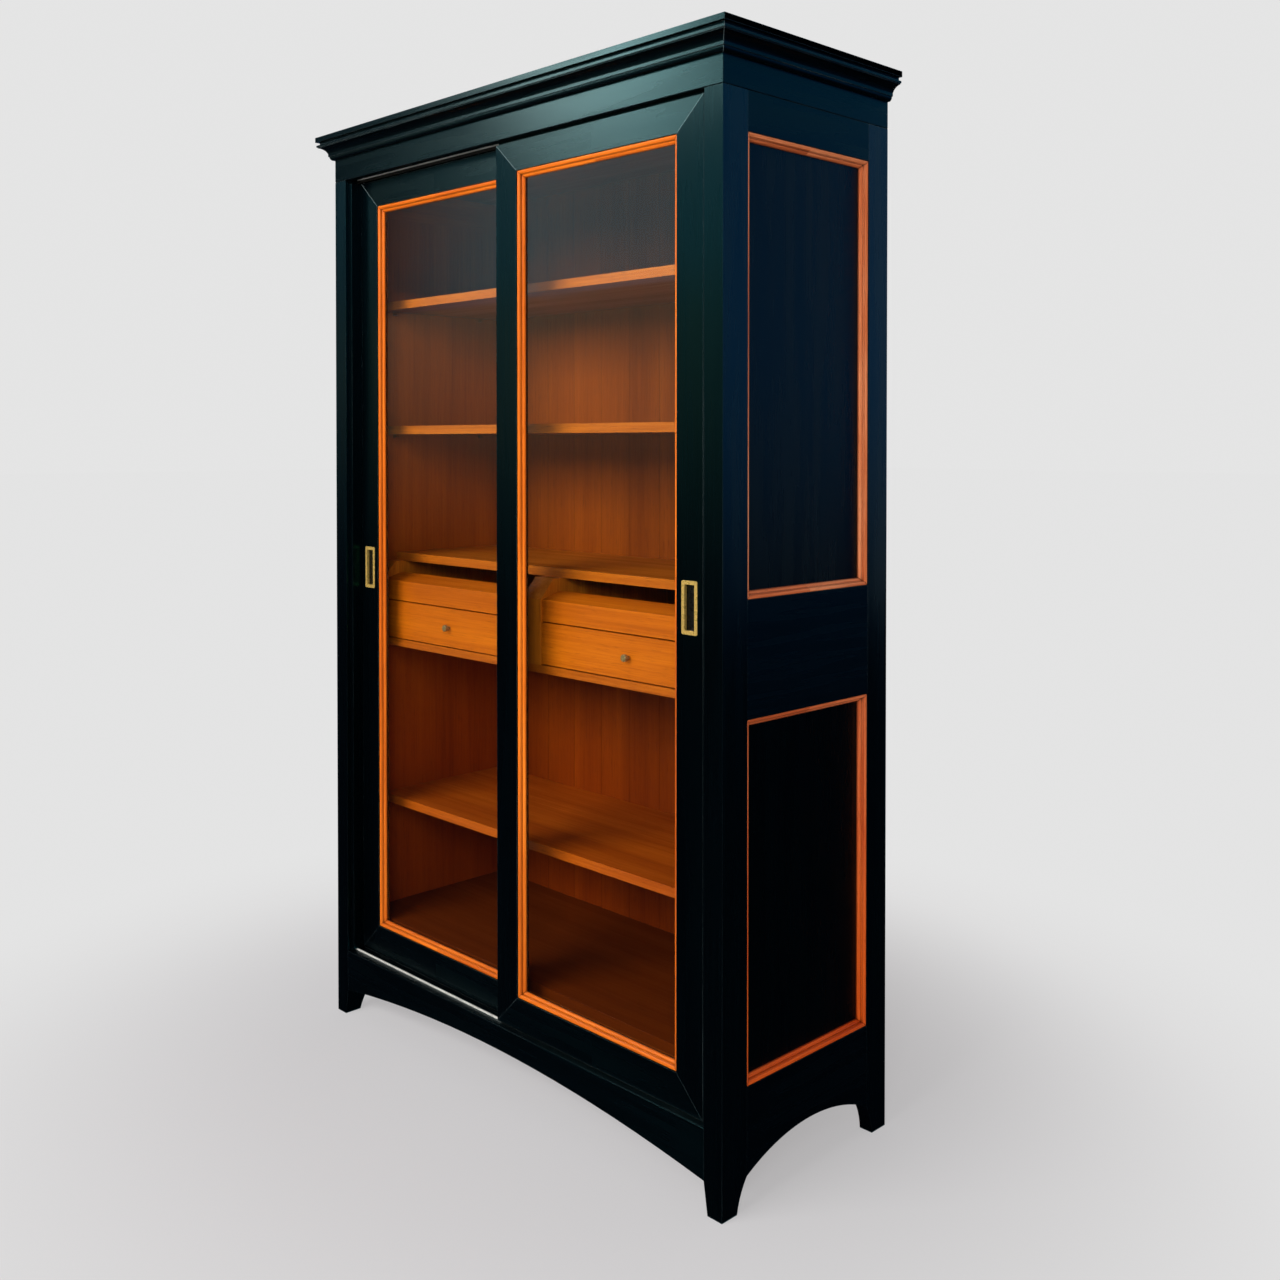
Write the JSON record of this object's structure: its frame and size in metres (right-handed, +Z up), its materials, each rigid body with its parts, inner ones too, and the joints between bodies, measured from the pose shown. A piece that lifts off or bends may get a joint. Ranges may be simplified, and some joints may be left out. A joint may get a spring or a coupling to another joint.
{
  "type": "bookcase with sliding doors",
  "caption": "Tall wooden bookcase with sliding glazed doors in mitred frames, pegged shelves, a shallow drawer case, panelled sides, an arched apron and a coved cornice.",
  "frame": {"origin": "on the floor, under the middle of the overall box", "axes": "+X to the right of someone facing the doors, +Y towards the back, +Z up"},
  "size_m": [1.35, 0.535, 2.154],
  "materials": {
    "dark_lacquer": "satin lacquer",
    "moulding_wood": "oiled",
    "shelf_wood": "oiled",
    "drawer_wood": "oiled",
    "interior_wood": "oiled",
    "glass": "clear polished",
    "brass": "aged",
    "grey_metal": "satin",
    "roller_steel": "turned"
  },
  "bodies": {
    "carcase": {"back_boards": "interior_wood", "bottom_board": "interior_wood", "cap_board": "dark_lacquer", "cornice": "dark_lacquer", "door_guide": "grey_metal", "door_sill": "dark_lacquer", "door_stops": "dark_lacquer", "door_tracks": "grey_metal", "drawer_case_bearers": "drawer_wood", "drawer_case_bottom": "drawer_wood", "drawer_case_uprights": "drawer_wood", "drawer_fascias": "drawer_wood", "drawer_slope_boards": "drawer_wood", "floor_bearer_front": "interior_wood", "floor_bearer_rear": "interior_wood", "frieze_front": "dark_lacquer", "frieze_rear": "interior_wood", "frieze_sides": "dark_lacquer", "front_apron": "dark_lacquer", "header_board": "dark_lacquer", "panel_mouldings_left": "moulding_wood", "panel_mouldings_right": "moulding_wood", "post_front_left": "dark_lacquer", "post_front_right": "dark_lacquer", "post_rear_left": "dark_lacquer", "post_rear_right": "dark_lacquer", "shelf_desk": "shelf_wood", "shelf_lower": "shelf_wood", "shelf_middle": "shelf_wood", "shelf_pegs": "grey_metal", "shelf_upper": "shelf_wood", "side_panels_left": "dark_lacquer", "side_panels_right": "dark_lacquer", "side_rail_arched_left": "dark_lacquer", "side_rail_arched_right": "dark_lacquer", "side_rail_middle_left": "dark_lacquer", "side_rail_middle_right": "dark_lacquer", "side_rail_top_left": "dark_lacquer", "side_rail_top_right": "dark_lacquer", "top_board": "interior_wood"},
    "door_right": {"door_right_frame": "dark_lacquer", "door_right_glass": "glass", "door_right_bead": "moulding_wood", "door_right_pull": "brass", "door_right_roller_housings": "grey_metal"},
    "door_right_roller_a": {"door_right_roller_a": "roller_steel"},
    "door_right_roller_b": {"door_right_roller_b": "roller_steel"},
    "door_left": {"door_left_frame": "dark_lacquer", "door_left_glass": "glass", "door_left_bead": "moulding_wood", "door_left_pull": "brass", "door_left_roller_housings": "grey_metal"},
    "door_left_roller_a": {"door_left_roller_a": "roller_steel"},
    "door_left_roller_b": {"door_left_roller_b": "roller_steel"},
    "drawer_left": {"drawer_left_front": "drawer_wood", "drawer_left_box": "drawer_wood", "drawer_left_knob": "brass"},
    "drawer_right": {"drawer_right_front": "drawer_wood", "drawer_right_box": "drawer_wood", "drawer_right_knob": "brass"}
  },
  "joints": [
    {"name": "door_right_slide", "type": "slide", "parent": "carcase", "child": "door_right", "axis": [-1, 0, 0], "range_m": [0, 0.564]},
    {"name": "door_right_roller_a_turn", "type": "hinge", "parent": "door_right", "child": "door_right_roller_a", "pos_m": [0.061, -0.2115, 0.1728], "axis": [0, 1, 0], "range_deg": [-2700, 0]},
    {"name": "door_right_roller_b_turn", "type": "hinge", "parent": "door_right", "child": "door_right_roller_b", "pos_m": [0.503, -0.2115, 0.1728], "axis": [0, 1, 0], "range_deg": [-2700, 0]},
    {"name": "door_left_slide", "type": "slide", "parent": "carcase", "child": "door_left", "axis": [1, 0, 0], "range_m": [0, 0.564]},
    {"name": "door_left_roller_a_turn", "type": "hinge", "parent": "door_left", "child": "door_left_roller_a", "pos_m": [-0.503, -0.1835, 0.1728], "axis": [0, 1, 0], "range_deg": [0, 2700]},
    {"name": "door_left_roller_b_turn", "type": "hinge", "parent": "door_left", "child": "door_left_roller_b", "pos_m": [-0.061, -0.1835, 0.1728], "axis": [0, 1, 0], "range_deg": [0, 2700]},
    {"name": "drawer_left_slide", "type": "slide", "parent": "carcase", "child": "drawer_left", "axis": [0, -1, 0], "range_m": [0, 0.015]},
    {"name": "drawer_right_slide", "type": "slide", "parent": "carcase", "child": "drawer_right", "axis": [0, -1, 0], "range_m": [0, 0.015]}
  ],
  "couplings": [
    {"joint": "door_right_roller_a_turn", "follows": "door_right_slide", "rad_per_m": -83.333},
    {"joint": "door_right_roller_b_turn", "follows": "door_right_slide", "rad_per_m": -83.333},
    {"joint": "door_left_roller_a_turn", "follows": "door_left_slide", "rad_per_m": 83.333},
    {"joint": "door_left_roller_b_turn", "follows": "door_left_slide", "rad_per_m": 83.333}
  ]
}
